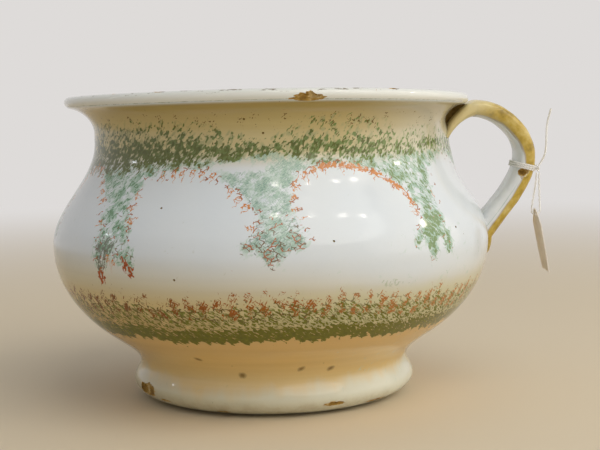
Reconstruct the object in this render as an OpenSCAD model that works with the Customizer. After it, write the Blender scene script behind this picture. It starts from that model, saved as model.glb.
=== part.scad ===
// Sponge-decorated earthenware chamber pot with a luted foot ring, a pulled strap handle
// and a card tag that hangs on a cotton string tied round the handle.
// Millimetres. The pot's axis is Z, the table is z = 0 and the handle points along +X.

/* [Body] */
// Height of the whole pot, from the table to the top of the lip
pot_h = 150.5; // [140:0.5:162]
// Greatest diameter of the belly
belly_d = 220; // [200:1:240]
// Diameter of the flank, where the lower wall is steepest
flank_d = 179; // [168:1:188]
// Radius that the flank gains per unit of height
flank_slope = 1.15; // [0.9:0.05:1.35]
// Diameter of the waist, where the body stands on the foot ring
waist_d = 136.5; // [128:0.5:146]
// Diameter of the neck
neck_d = 176.5; // [166:0.5:186]
// Height of the flank above the waist
flank_h = 19.5; // [16:0.5:24]
// Height of the belly's widest point above the flank
belly_h = 40.5; // [34:0.5:48]
// Height of the straight neck
neck_h = 4.5; // [2:0.5:10]
// Thickness of the wall, and of the rolled lip
wall = 5.5; // [4.5:0.1:7]
// Thickness of the floor
floor_t = 7; // [5:0.5:10]
// Reach of the inside curve between floor and wall
floor_curve = 9; // [5:0.5:12]

/* [Rim] */
// Radius of the flare under the lip
flare_r = 12; // [9:0.5:15]
// Angle that the flare turns through, away from the neck
flare_angle = 75; // [65:1:85]
// Straight length of the lip beyond the flare
lip_run = 2; // [0.5:0.1:4]

/* [Foot] */
// Height of the foot ring
foot_h = 18.5; // [15:0.5:24]
// Greatest diameter of the foot's roll
foot_d = 143; // [136:0.5:152]
// Height of the roll's widest point
foot_roll_z = 9; // [7:0.5:11]
// Outer diameter of the band that stands on the table
foot_tread_d = 108; // [102:0.5:116]
// Width of that band
foot_tread_w = 6; // [4:0.5:8]
// Diameter of the hollow under the floor, at its top
hollow_d = 98; // [90:0.5:106]

/* [Handle] */
// Width of the strap
strap_w = 24; // [20:0.5:28]
// Thickness of the strap at its root on the neck
strap_t_root = 3.4; // [3:0.1:4.4]
// Thickness of the strap at its crown
strap_t_crown = 8.6; // [7:0.1:9.4]
// Thickness of the strap at its heel, where it turns back to the belly
strap_t_heel = 9.6; // [8:0.1:11]
// Thickness of the strap at its tail on the belly
strap_t_tail = 11.6; // [9.6:0.1:13]
// Distance of the strap's outer face from the belly's widest point
handle_reach = 24.9; // [22:0.1:32]
// Depth of the root below the flare
root_drop = 6.5; // [5:0.5:9]
// Depth of the crown's middle below the top of the lip
crown_drop = 7.9; // [7:0.1:9]
// Distance of the crown from the neck
crown_out = 16.2; // [14.5:0.1:18]
// Height of the crown above the heel
heel_drop = 23.4; // [20:0.2:28]
// Height of the tail above the belly's widest point
tail_rise = 4.2; // [0:0.2:8]
// Slant of the strap where it meets the belly, from the vertical
tail_slant = 37; // [30:1:44]
// Thickness of the slip film that bonds handle and body
lute_t = 0.1; // [0.05:0.05:0.3]

/* [String] */
// Diameter of the cotton string
string_d = 0.9; // [0.7:0.1:1]
// Turns of string round the strap
wrap_turns = 2; // [1:1:3]
// Gap between the turns
wrap_gap = 0.45; // [0.42:0.01:0.6]
// Gap between the string and what it is tied to
string_gap = 0.3; // [0.2:0.05:0.5]
// Diameter of the knot
knot_d = 3.8; // [3.6:0.1:4.6]
// Distance of the knot from the strap's front edge
knot_inset = 2; // [1:0.5:4]
// Place of the wrap between the heel, at 0, and the tail, at 1
wrap_at = 0.15; // [0.05:0.01:0.3]

/* [Tag] */
// Width of the card
tag_w = 18; // [14:0.5:24]
// Length of the card
tag_l = 32; // [26:0.5:40]
// Thickness of the card
tag_t = 0.5; // [0.3:0.1:0.8]
// Cut across each top corner, along the top edge
tag_clip_w = 6; // [3:0.5:6.5]
// Cut across each top corner, along the side
tag_clip_l = 7; // [4:0.5:10]
// Diameter of the punched hole
tag_hole_d = 2; // [1.8:0.1:2.4]
// Distance of the hole from the top edge
tag_hole_inset = 3; // [2.4:0.1:4]
// Lean of the hanging card, from the vertical
tag_lean = 10; // [0:1:15]

/* [Hidden] */
$fn = 96;

// Steps of the curved outlines
wall_step = 2;
arc_step = 7.5;
// Sides of the strap's section, and its rings in each of the three bends
strap_sides = 24;
strap_rings = 12;
// Squareness of the strap's section: 2 is an ellipse, larger is boxier
strap_square = 3.2;
// Sides of a string, its rings in each turn of the wrap, and in the loop's round end
string_sides = 8;
wrap_sides = 6;
wrap_rings = 24;
loop_rings = 8;

belly_r = belly_d / 2;
flank_r = flank_d / 2;
waist_r = waist_d / 2;
neck_r = neck_d / 2;
waist_z = foot_h;
flank_z = waist_z + flank_h;
belly_z = flank_z + belly_h;
floor_z = waist_z + floor_t;

// Lip: the flare's far end, the lip's straight run and the bead that rounds it off
lip_along = [sin(flare_angle), cos(flare_angle)];
lip_up = [-cos(flare_angle), sin(flare_angle)];
bead_c = [neck_r + flare_r * (1 - cos(flare_angle)) + lip_run * lip_along.x + wall / 2 * lip_up.x,
          pot_h - wall / 2];
lip_in_z = bead_c.y - lip_run * lip_along.y - wall / 2 * lip_up.y;
flare_z = lip_in_z - flare_r * sin(flare_angle);
neck_z = flare_z - neck_h;
shoulder_h = neck_z - belly_z;

function hermite(t, a, b, slope_a, slope_b) =
    (2 * t ^ 3 - 3 * t ^ 2 + 1) * a + (t ^ 3 - 2 * t ^ 2 + t) * slope_a
    + (3 * t ^ 2 - 2 * t ^ 3) * b + (t ^ 3 - t ^ 2) * slope_b;

function bezier2(t, a, b, c) = (1 - t) ^ 2 * a + 2 * t * (1 - t) * b + t ^ 2 * c;

function bezier3(t, a, b, c, d) =
    (1 - t) ^ 3 * a + 3 * t * (1 - t) ^ 2 * b + 3 * t ^ 2 * (1 - t) * c + t ^ 3 * d;

function unit(v) = v / norm(v);

// Values from a to b in equal steps of about the given size, both ends included
function steps(a, b, size) =
    let (count = max(1, ceil((b - a) / size)))
    [for (i = [0:count]) a + (b - a) * i / count];

// Outer radius of the thrown wall at a height between the waist and the flare
function body_r(z) =
    z < flank_z ? hermite((z - waist_z) / flank_h, waist_r, flank_r, 0, flank_slope * flank_h)
    : z < belly_z ? hermite((z - flank_z) / belly_h, flank_r, belly_r, flank_slope * belly_h, 0)
    : z < neck_z ? neck_r + (belly_r - neck_r) * (1 + cos(180 * (z - belly_z) / shoulder_h)) / 2
    : neck_r;

// Direction straight out of the wall at a height, as [radius, height]
function body_normal(z) =
    let (reach = 0.05, slope = (body_r(z + reach) - body_r(z - reach)) / (2 * reach))
    unit([1, -slope]);

// Point of the wall at a height, moved out along its normal
function wall_point(z, out = 0) = [body_r(z), z] + out * body_normal(z);

// Arc of the flare, from the neck to the lip, moved towards the inside by a depth
function flare_arc(depth) =
    [for (a = steps(0, flare_angle, arc_step))
        [neck_r + flare_r - (flare_r + depth) * cos(a), flare_z + (flare_r + depth) * sin(a)]];

outer_z = concat(steps(waist_z, belly_z, wall_step), steps(belly_z + wall_step, neck_z, wall_step));

// Outside of the body from the waist to the lip, moved out by a film
function outer_outline(film = 0) =
    concat([for (z = outer_z) wall_point(z, film)], flare_arc(-film));

// The bead runs from the lip's underside round to its top
function bead(film = 0) =
    [for (a = steps(-flare_angle, 180 - flare_angle, arc_step * 2))
        bead_c + (wall / 2 + film) * [cos(a), sin(a)]];

// Inside of the wall, kept above the curve that leads to the floor
inner_wall = [for (z = outer_z) let (p = wall_point(z, -wall)) if (p.y > floor_z + floor_curve) p];
curve_top = inner_wall[0];
curve_way = unit(inner_wall[1] - inner_wall[0]);
curve_corner = curve_top - curve_way * (curve_top.y - floor_z) / curve_way.y;
floor_edge = curve_corner - [floor_curve, 0];
inner_curve = [for (t = steps(0, 0.875, 0.125)) bezier2(t, floor_edge, curve_corner, curve_top)];

function reversed(list) = [for (i = [len(list) - 1:-1:0]) list[i]];

// Roll of the foot: drawn in to the waist above, rounded under to the tread below
foot_r = foot_d / 2;
tread_r = foot_tread_d / 2;
foot_roll = concat(
    [for (a = steps(-90, 0, arc_step))
        [tread_r + (foot_r - tread_r) * cos(a), foot_roll_z + foot_roll_z * sin(a)]],
    [for (t = steps(0.125, 1, 0.125))
        [foot_r + (waist_r - foot_r) * (1 - cos(180 * t)) / 2,
         foot_roll_z + (foot_h - foot_roll_z) * t]]);

// Middle line of the strap, as [x, z]: root on the neck, crown under the lip, heel, tail on the belly
root_z = flare_z - root_drop;
crown = [neck_r + crown_out, pot_h - crown_drop];
heel = [belly_r + handle_reach - strap_t_heel / 2, crown.y - heel_drop];
tail_z = belly_z + tail_rise;
tail_way = [-sin(tail_slant), -cos(tail_slant)];
// Both ends start inside the wall, so that the wall trims them to its own curve
root_sink = 0.35;
tail_sink = 2.75;
root = [neck_r - root_sink, root_z];
tail = [body_r(tail_z), tail_z] + tail_sink * tail_way;

// Reach of each bend's handles, which set how full the bend is
root_full = [4.4, 12];
crown_full_in = 2.5;
crown_full_out = 12;
heel_full_up = 11.2;
heel_full_down = 13.9;
tail_full = 18.4;

strap_bends = [
    [root, root + root_full, crown - [crown_full_in, 0], crown],
    [crown, crown + [crown_full_out, 0], heel + [0, heel_full_up], heel],
    [heel, heel - [0, heel_full_down], tail - tail_full * tail_way, tail]];
strap_t = [[strap_t_root, strap_t_crown], [strap_t_crown, strap_t_heel], [strap_t_heel, strap_t_tail]];

// Middle of the strap in a bend, its thickness there, and its outward direction
function strap_point(b, t) = let (p = strap_bends[b]) bezier3(t, p[0], p[1], p[2], p[3]);
function strap_thick(b, t) = strap_t[b][0] + (strap_t[b][1] - strap_t[b][0]) * t;
function strap_way(b, t) =
    let (reach = 0.01)
    unit(strap_point(b, t + reach) - strap_point(b, t - reach));
function strap_out(b, t) = let (along = strap_way(b, t)) [-along.y, along.x];

strap_places = [for (b = [0:2]) for (i = [(b == 0 ? 0 : 1):strap_rings]) [b, i / strap_rings]];

// Point of a rounded oblong at an angle round it, as [across, through]
function oblong(w, t, a) =
    [w / 2 * sign(cos(a)) * abs(cos(a)) ^ (2 / strap_square),
     t / 2 * sign(sin(a)) * abs(sin(a)) ^ (2 / strap_square)];

// Place across and through the strap, and along it, in a bend
function strap_place(b, t, across, through, along = 0) =
    let (p = strap_point(b, t) + through * strap_out(b, t) + along * strap_way(b, t))
    [p.x, across, p.y];

// Skin over equal rings of points, with flat ends
module skin(rings) {
    n = len(rings[0]);
    last = len(rings) - 1;
    sides = [for (r = [0:last - 1]) for (i = [0:n - 1])
        let (a = r * n + i, b = r * n + (i + 1) % n)
        each [[a, a + n, b + n], [a, b + n, b]]];
    caps = [[for (i = [0:n - 1]) i], [for (i = [n - 1:-1:0]) last * n + i]];
    polyhedron([for (ring = rings) each ring], concat(sides, caps));
}

// Direction of a line at one of its points
function way(line, i) = unit(line[min(i + 1, len(line) - 1)] - line[max(i - 1, 0)]);

// String along a line of points; across is a direction that the line never runs along
module string(line, sides, across) {
    skin([for (i = [0:len(line) - 1])
        let (t = way(line, i), u = unit(cross(t, across)), v = cross(t, u))
        [for (k = [0:sides - 1])
            line[i] + string_d / 2 * (cos(360 * k / sides) * u + sin(360 * k / sides) * v)]]);
}

// Wrap: turns of string round the strap below its heel, which start and end beside the knot
wrap_pitch = string_d + wrap_gap;
wrap_out = string_gap + string_d / 2;
wrap_w = strap_w + 2 * wrap_out;
wrap_bend = 2;
wrap_strap_t = strap_thick(wrap_bend, wrap_at);
wrap_t = wrap_strap_t + 2 * wrap_out;
wrap_way = strap_way(wrap_bend, wrap_at);
knot_across = knot_inset - strap_w / 2;
// Angle round the strap's section, and round the wrap, at which they lie under the knot
function angle_under_knot(w) = acos(-(-knot_across / (w / 2)) ^ (strap_square / 2));
knot_seat = oblong(strap_w, wrap_strap_t, angle_under_knot(strap_w)).y;
knot = strap_place(wrap_bend, wrap_at, knot_across, knot_seat + string_gap + knot_d / 2);
wrap_line = [for (i = [0:wrap_rings * wrap_turns])
    let (turn = i / wrap_rings, p = oblong(wrap_w, wrap_t, angle_under_knot(wrap_w) + 360 * turn))
    strap_place(wrap_bend, wrap_at, p.x, p.y, wrap_pitch * (wrap_turns / 2 - turn))];
wrap_self_gap = min([for (i = [0:len(wrap_line) - 1]) for (j = [i + wrap_rings / 2:len(wrap_line) - 1])
    norm(wrap_line[i] - wrap_line[j]) - string_d]);
echo(wrap_self_gap = wrap_self_gap);

// Loose end, from the knot upwards: places from the knot's middle
end_route = [[0.6, 0, 1.4], [1.4, 0, 3], [2.8, -0.4, 5.4], [3.6, -1, 8.4], [3.9, -1.4, 12],
             [4.1, -1.2, 16], [4.4, -0.6, 20], [5, -0.4, 24], [5.8, -0.8, 27.4], [6.4, -1.4, 30]];
// Loop that the tag hangs in, from just under the knot: its middle line, half its width and its height
drop_route = [[0, 0.7, 0], [-0.1, 0.7, -3], [-0.3, 0.9, -6], [-0.5, 1.2, -9], [-0.7, 1.5, -12],
              [-0.9, 1.8, -15], [-1.1, 2.1, -19]];
drop_top = knot - [0, 0, knot_d / 2 + string_gap];
loop_end = drop_route[len(drop_route) - 1];
loop_r = loop_end.y;

// One side of the loop, beyond its middle line for side = 1 and short of it for side = -1
function drop_side(side) = [for (p = drop_route) drop_top + [p.x + side * p.y, 0, p.z]];

end_line = [for (p = end_route) knot + p];
drop_line = concat(
    drop_side(1),
    [for (i = [1:loop_rings - 1])
        let (a = -180 * i / loop_rings)
        drop_top + [loop_end.x + loop_r * cos(a), 0, loop_end.z + loop_r * sin(a)]],
    reversed(drop_side(-1)));

// The card hangs by its hole from the bottom of the loop
tag_pivot = drop_top + [loop_end.x, 0, loop_end.z - loop_r];

module pot_body() {
    color("ghostwhite")
    rotate_extrude()
    polygon(concat(
        [[0, waist_z]], outer_outline(), bead(),
        reversed(flare_arc(wall)), reversed(inner_wall),
        reversed(inner_curve), [[0, floor_z]]));
}

module foot_ring() {
    color("white")
    rotate_extrude()
    polygon(concat(
        [[tread_r - foot_tread_w, 0]], foot_roll, [[hollow_d / 2, foot_h]]));
}

// Everything inside the body's outer face and its slip film
module body_and_film() {
    rotate_extrude()
    polygon(concat(
        [[0, waist_z]], outer_outline(lute_t), bead(lute_t), [[0, pot_h + lute_t]]));
}

module handle_strap() {
    color("goldenrod")
    difference() {
        skin([for (place = strap_places)
            [for (i = [0:strap_sides - 1])
                let (b = place[0], t = place[1], a = 360 * (i + 0.5) / strap_sides,
                     p = oblong(strap_w, strap_thick(b, t), a))
                strap_place(b, t, p.x, p.y)]]);
        body_and_film();
    }
}

module string_wrap() {
    color("snow") string(wrap_line, wrap_sides, [wrap_way.x, 0, wrap_way.y]);
}

module string_knot() {
    color("snow") translate(knot) sphere(d = knot_d);
}

module string_end() {
    color("snow") string(end_line, string_sides, [0, 1, 0]);
}

module string_drop() {
    color("snow") string(drop_line, string_sides, [0, 1, 0]);
}

module tag_card() {
    top = tag_hole_inset;
    half = tag_w / 2;
    color("tan")
    translate(tag_pivot) rotate([0, -tag_lean, 0])
    difference() {
        translate([-tag_t / 2, 0, 0]) rotate([90, 0, 90]) linear_extrude(tag_t)
            polygon([[half, top - tag_l], [half, top - tag_clip_l], [half - tag_clip_w, top],
                     [tag_clip_w - half, top], [-half, top - tag_clip_l], [-half, top - tag_l]]);
        rotate([0, 90, 0]) cylinder(d = tag_hole_d, h = 3 * tag_t, center = true);
    }
}

pot_body();
foot_ring();
handle_strap();
string_wrap();
string_knot();
string_end();
string_drop();
tag_card();
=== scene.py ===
"""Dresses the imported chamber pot: a tin-glazed, sponge-decorated body, an ochre-washed strap
handle and a card tag tied on with cotton string. Lengths are millimetres until a mesh is made."""

import math
from functools import partial
from types import SimpleNamespace

import bmesh
import bpy
import numpy as np
from mathutils import Matrix, Vector, noise


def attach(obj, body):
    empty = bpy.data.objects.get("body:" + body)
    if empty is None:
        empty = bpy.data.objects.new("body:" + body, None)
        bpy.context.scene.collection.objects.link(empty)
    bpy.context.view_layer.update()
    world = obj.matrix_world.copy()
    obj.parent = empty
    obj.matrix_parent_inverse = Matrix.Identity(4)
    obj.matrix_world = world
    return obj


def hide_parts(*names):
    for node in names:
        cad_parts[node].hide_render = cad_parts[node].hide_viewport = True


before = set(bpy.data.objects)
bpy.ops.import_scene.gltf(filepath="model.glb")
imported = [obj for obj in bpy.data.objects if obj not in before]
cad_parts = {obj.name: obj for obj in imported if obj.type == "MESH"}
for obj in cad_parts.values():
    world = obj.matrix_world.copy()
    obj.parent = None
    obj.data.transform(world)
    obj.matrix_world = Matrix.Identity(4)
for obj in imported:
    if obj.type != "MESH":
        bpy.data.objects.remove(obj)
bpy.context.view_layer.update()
MM = 0.001
MERGE = 0.02


# Camera, fitted to the outline of the pot in the photograph

CAMERA_AT = (0, -0.6388, 0.139)
CAMERA_TURN = (1.324, -4.872, -0.999)


def aim_camera():
    yaw, pitch, roll = (math.radians(a) for a in CAMERA_TURN)
    ahead = Vector((math.sin(yaw) * math.cos(pitch), math.cos(yaw) * math.cos(pitch), math.sin(pitch)))
    level = Vector((math.cos(yaw), -math.sin(yaw), 0))
    rise = level.cross(ahead)
    across = math.cos(roll) * level + math.sin(roll) * rise
    up = -math.sin(roll) * level + math.cos(roll) * rise
    turn = Matrix((across, up, -ahead)).transposed()
    bpy.ops.object.camera_add(location=CAMERA_AT, rotation=turn.to_euler())
    camera = bpy.context.object
    camera.data.sensor_fit = "HORIZONTAL"
    camera.data.sensor_width = 36
    camera.data.lens = 75
    camera.data.clip_start = 0.01
    bpy.context.scene.camera = camera


aim_camera()


# Shared tools

def linear(code):
    """sRGB hex to the linear colour that a shader takes."""
    parts = (int(code[i:i + 2], 16) / 255 for i in (1, 3, 5))
    return tuple(c / 12.92 if c <= 0.04045 else ((c + 0.055) / 1.055) ** 2.4 for c in parts) + (1,)


# The setting that a node's mode goes into
MODES = {"Math": "operation", "VectorMath": "operation", "Mix": "data_type", "Mapping": "vector_type",
         "MapRange": "interpolation_type", "TexNoise": "noise_dimensions",
         "TexWhiteNoise": "noise_dimensions", "TexVoronoi": "voronoi_dimensions"}


def fill(node, inputs):
    """Sets or links a node's inputs, given by name or in order."""
    for key, value in inputs.items() if isinstance(inputs, dict) else enumerate(inputs):
        if isinstance(value, bpy.types.NodeSocket):
            node.id_data.links.new(value, node.inputs[key])
        else:
            node.inputs[key].default_value = value


def set_stops(ramp, steps):
    """Sets the stops of a ramp, as places and colours, in sRGB hex or linear."""
    steps = [(at, linear(colour) if isinstance(colour, str) else colour) for at, colour in steps]
    ends = steps[0], steps[-1]
    for stop, (at, colour) in zip(ramp.elements, ends):
        stop.position, stop.color = at, colour
    for at, colour in steps[1:-1]:
        ramp.elements.new(at).color = colour


def add_node(tree, kind, inputs=(), out=None, stops=None, **settings):
    """Adds a node, as a kind and its mode, with its settings, links and a ramp's stops. Gives one of its
    outputs, the first that is in use where none is asked for."""
    kind, *mode = kind.split()
    node = tree.nodes.new("ShaderNode" + kind)
    if mode:
        setattr(node, MODES[kind], mode[0])
    for key, value in settings.items():
        setattr(node, key, value)
    if stops:
        set_stops(node.color_ramp, stops)
    fill(node, inputs)
    if out is None:
        out = next(i for i, socket in enumerate(node.outputs) if socket.enabled)
    return node.outputs[out]


def new_material(name):
    """A new material; gives it, what adds a node to it, and its shader."""
    material = bpy.data.materials.new(name)
    material.use_nodes = True
    tree = material.node_tree
    return material, partial(add_node, tree), tree.nodes["Principled BSDF"]


def smooth(low, high, value):
    t = np.clip((value - low) / (high - low), 0, 1)
    return t * t * (3 - 2 * t)


def start_clean():
    bpy.ops.object.select_all(action="DESELECT")


def pick(*pieces):
    """Selects pieces and nothing else, and makes the first the active one."""
    start_clean()
    for piece in pieces:
        piece.select_set(True)
    bpy.context.view_layer.objects.active = pieces[0]


def work(piece, kind, **settings):
    """Adds a modifier with its settings to a piece, and applies it."""
    pick(piece)
    step = piece.modifiers.new("step", kind)
    for key, value in settings.items():
        setattr(step, key, value)
    bpy.ops.object.modifier_apply(modifier=step.name)


def coordinates(mesh):
    places = np.empty(3 * len(mesh.vertices), np.float32)
    mesh.vertices.foreach_get("co", places)
    return places.reshape(-1, 3).astype(float) / MM


def place_points(mesh, places):
    mesh.vertices.foreach_set("co", (np.asarray(places) * MM).astype(np.float32).ravel())
    mesh.update()


def keep_values(mesh, **values):
    """Stores one number per vertex, for a material to read."""
    for name, value in values.items():
        mesh.attributes.new(name, "FLOAT", "POINT").data.foreach_set("value", value.astype(np.float32))


def lumps(places, roughness, lacunarity, octaves):
    """Unevenness of worked clay at each place."""
    return np.array([noise.fractal(Vector(p), roughness, lacunarity, octaves) for p in places])


def close_shell():
    """In edit mode: merges doubles and turns all faces outwards."""
    bpy.ops.mesh.select_all(action="SELECT")
    bpy.ops.mesh.remove_doubles(threshold=MERGE * MM)
    bpy.ops.mesh.normals_make_consistent(inside=False)


# Strap handle's middle line, from part.scad: root, crown, heel and tail in the plane y = 0

def bezier(points, t):
    a, b, c, d = (np.array(p, float) for p in points)
    return (1 - t) ** 3 * a + 3 * t * (1 - t) ** 2 * b + 3 * t ** 2 * (1 - t) * c + t ** 3 * d


ROOT, CROWN, HEEL = np.array((87.9, 126.485)), np.array((104.45, 142.6)), np.array((130.1, 119.2))
TAIL, TAIL_WAY = np.array((107.97, 80.5)), np.array((-0.6018, -0.7986))
BENDS = [
    [ROOT, ROOT + (4.4, 12), CROWN - (2.5, 0), CROWN],
    [CROWN, CROWN + (12, 0), HEEL + (0, 11.2), HEEL],
    [HEEL, HEEL - (0, 13.9), TAIL - 18.4 * TAIL_WAY, TAIL]]
STRAP_W, STRAP_SQUARE = 24, 3.2
STRAP_T = (3.4, 8.6, 9.6, 11.6)


def strap_frame(bend, t):
    """Middle of the strap, its direction, its outward direction and its thickness."""
    middle = bezier(BENDS[bend], t)
    way = bezier(BENDS[bend], t + 0.01) - bezier(BENDS[bend], t - 0.01)
    way /= np.linalg.norm(way)
    thick = STRAP_T[bend] + (STRAP_T[bend + 1] - STRAP_T[bend]) * t
    return middle, way, np.array((-way[1], way[0])), thick


def oblong(width, thick, angle):
    """Rounded oblong, as places across and through the strap."""
    power = 2 / STRAP_SQUARE
    c, s = np.cos(angle), np.sin(angle)
    return width / 2 * np.sign(c) * np.abs(c) ** power, thick / 2 * np.sign(s) * np.abs(s) ** power


# Cotton string: wrap, knot, loose end and the loop that carries the tag

STRING_D, STRING_STEP = 0.9, 0.3
PLY_R, PLY_OUT, LAY = 0.28 * STRING_D, 0.29 * STRING_D, 3.0
KNOT, KNOT_R = np.array((135.264, -10, 111.781)), 0.46
WRAP_AT, WRAP_TURNS, WRAP_PITCH, WRAP_OUT = 0.15, 3, 0.95, 0.6
END_ROUTE = [(0, 0, 0), (0.6, 0, 1.4), (1.4, 0, 3), (2.8, -0.4, 5.4), (3.6, -1, 8.4), (3.9, -1.4, 12),
             (4.1, -1.2, 16), (4.4, -0.6, 20), (5, -0.4, 24), (5.8, -0.8, 27.4), (6.4, -1.4, 30)]
# One side of the doubled string: places outwards, half the width between the two strings, and heights
DROP_ROUTE = [(0, 0.7, 0), (-0.1, 0.7, -3), (-0.3, 0.9, -6), (-0.5, 1.2, -9), (-0.7, 1.5, -12),
              (-0.9, 1.8, -15), (-1.1, 2.1, -19)]
DROP_TOP = KNOT - (0, 0, 2.2)
LOOP_X, LOOP_R, LOOP_Z = DROP_ROUTE[-1]
TAG_PIVOT = DROP_TOP + (LOOP_X, 0, LOOP_Z - LOOP_R)


def even_line(points, closed=False):
    """Smooth line through the points, with points at equal steps along it."""
    p = np.array(points, float)
    ring = [p[-1], *p, p[0], p[1]] if closed else [2 * p[0] - p[1], *p, 2 * p[-1] - p[-2]]
    fine = []
    for a, b, c, d in zip(ring, ring[1:], ring[2:], ring[3:]):
        for t in np.linspace(0, 1, 24, endpoint=False):
            fine.append(0.5 * (2 * b + (c - a) * t + (2 * a - 5 * b + 4 * c - d) * t ** 2
                               + (3 * b - a - 3 * c + d) * t ** 3))
    fine.append(ring[-2])
    fine = np.array(fine)
    along = np.r_[0, np.cumsum(np.linalg.norm(np.diff(fine, axis=0), axis=1))]
    places = np.linspace(0, along[-1], max(2, round(along[-1] / STRING_STEP)) + 1)
    return np.stack([np.interp(places, along, fine[:, i]) for i in range(3)], axis=1)


def line_length(line):
    return float(np.linalg.norm(np.diff(line, axis=0), axis=1).sum())


def twist_string(name, line, closed=False):
    """Three cotton plies laid round a line, made as curves and turned into one mesh."""
    length = line_length(line)
    turns = max(1, round(length / LAY)) if closed else length / LAY
    if closed:
        line = line[:-1]
    curve = bpy.data.curves.new(name, "CURVE")
    curve.dimensions = "3D"
    curve.bevel_depth = PLY_R * MM
    curve.bevel_resolution = 1
    curve.use_fill_caps = True
    ahead = np.roll(line, -1, 0) - np.roll(line, 1, 0) if closed else np.gradient(line, axis=0)
    ahead /= np.linalg.norm(ahead, axis=1)[:, None]
    # Square to the string, from a direction that no string here runs in
    side = np.cross(ahead[0], (0.31, 0.87, 0.37))
    for ply in range(3):
        spline = curve.splines.new("POLY")
        spline.points.add(len(line) - 1)
        spline.use_cyclic_u = closed
        for i, (middle, way) in enumerate(zip(line, ahead)):
            side = side - way * side.dot(way)
            side /= np.linalg.norm(side)
            turn = 2 * math.pi * (ply / 3 + turns * i / len(line))
            place = middle + PLY_OUT * (math.cos(turn) * side + math.sin(turn) * np.cross(way, side))
            spline.points[i].co = (*(place * MM), 1)
    piece = bpy.data.objects.new(name, curve)
    bpy.context.collection.objects.link(piece)
    pick(piece)
    bpy.ops.object.convert(target="MESH")
    bpy.ops.object.shade_smooth()
    return bpy.context.object


def tie_string():
    """Lays the four pieces of string; gives them and the lines of the two that are free."""
    middle, way, out, thick = strap_frame(2, WRAP_AT)
    wide, deep = STRAP_W + 2 * WRAP_OUT, thick + 2 * WRAP_OUT
    start = math.acos(-(-KNOT[1] / (wide / 2)) ** (STRAP_SQUARE / 2))
    wrap = []
    for turn in np.linspace(0, WRAP_TURNS, 48 * WRAP_TURNS + 1):
        across, through = oblong(wide, deep, start + 2 * math.pi * turn)
        x, z = middle + through * out + WRAP_PITCH * (WRAP_TURNS / 2 - turn) * way
        wrap.append((x, across, z))

    # An overhand knot seen from outside: a trefoil drawn tight
    t = np.linspace(0, 2 * math.pi, 40, endpoint=False)
    trefoil = [-np.sin(3 * t), np.sin(t) + 2 * np.sin(2 * t), np.cos(t) - 2 * np.cos(2 * t)]
    trefoil = KNOT + KNOT_R * np.stack(trefoil, 1)

    end = even_line([KNOT + np.array(p) for p in END_ROUTE])
    round_end = [(LOOP_X + LOOP_R * math.cos(a), 0, LOOP_Z + LOOP_R * math.sin(a))
                 for a in np.linspace(0, -math.pi, 9)[1:-1]]
    loop = ([(x + w, 0, z) for x, w, z in DROP_ROUTE] + round_end
            + [(x - w, 0, z) for x, w, z in reversed(DROP_ROUTE)])
    drop = even_line([DROP_TOP + np.array(p) for p in loop])
    pieces = [twist_string("string_turns", even_line(wrap)),
              twist_string("string_overhand", even_line(trefoil, closed=True), closed=True),
              twist_string("string_loose_end", end),
              twist_string("string_tag_loop", drop)]
    for piece, node in zip(pieces, ("string_wrap", "string_knot", "string_end", "string_drop")):
        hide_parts(node)
        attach(piece, "string" if node == "string_drop" else "pot")
    return pieces, end, drop


string_pieces, end_line, drop_line = tie_string()


# Card tag, measured from its hole: half width, top, bottom, thickness, broken edge, lean and clipped corners

TAG_HALF, TAG_TOP, TAG_BOTTOM, TAG_T, TAG_EDGE, TAG_LEAN = 9, 3, -29, 0.5, 0.09, math.radians(10)
CLIP_ACROSS, CLIP_DOWN, HOLE_R = 6, 7, 1


def make_tag():
    """A card cut from a grid: corners clipped, hole punched, edges broken and the card curled."""
    start_clean()
    bpy.ops.mesh.primitive_grid_add(x_subdivisions=28, y_subdivisions=48, size=2)
    piece = bpy.context.object
    piece.name = "card_tag"
    x, y = coordinates(piece.data)[:, :2].T * MM
    y = (TAG_TOP + TAG_BOTTOM) / 2 + y * (TAG_TOP - TAG_BOTTOM) / 2
    place_points(piece.data, np.c_[x * TAG_HALF, y, 0 * x])
    bpy.ops.object.mode_set(mode="EDIT")
    for side in (1, -1):
        corner = Vector((side * TAG_HALF, TAG_TOP - CLIP_DOWN, 0)) * MM
        bpy.ops.mesh.select_all(action="SELECT")
        bpy.ops.mesh.bisect(plane_co=corner, plane_no=(side * CLIP_DOWN, CLIP_ACROSS, 0), clear_outer=True)
    bpy.ops.object.mode_set(mode="OBJECT")
    work(piece, "SOLIDIFY", thickness=TAG_T * MM, offset=0)
    bpy.ops.mesh.primitive_cylinder_add(vertices=32, radius=HOLE_R * MM, depth=4 * MM, location=(0, 0, 0))
    punch = bpy.context.object
    work(piece, "BOOLEAN", object=punch, operation="DIFFERENCE")
    bpy.data.objects.remove(punch)
    work(piece, "BEVEL", width=TAG_EDGE * MM, segments=2, limit_method="ANGLE", angle_limit=math.radians(50))
    bpy.ops.object.shade_smooth_by_angle(angle=math.radians(40))

    # The card bows a little away from its hole, and one lower corner is lifted
    across, along, deep = coordinates(piece.data).T
    low, aside = np.clip(along / TAG_BOTTOM, 0, 1), across / TAG_HALF
    deep = deep + 0.5 * low ** 2 - 0.35 * low * aside ** 2 + 0.45 * low ** 3 * aside
    normal = np.array((math.cos(TAG_LEAN), 0, math.sin(TAG_LEAN)))
    up = np.array((-math.sin(TAG_LEAN), 0, math.cos(TAG_LEAN)))
    hung = across[:, None] * (0, 1, 0) + along[:, None] * up + deep[:, None] * normal
    place_points(piece.data, TAG_PIVOT + hung)
    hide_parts("tag_card")
    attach(piece, "tag")
    return piece


tag = make_tag()


# Pot: section of the solids, thrown on the wheel by a spin

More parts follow.
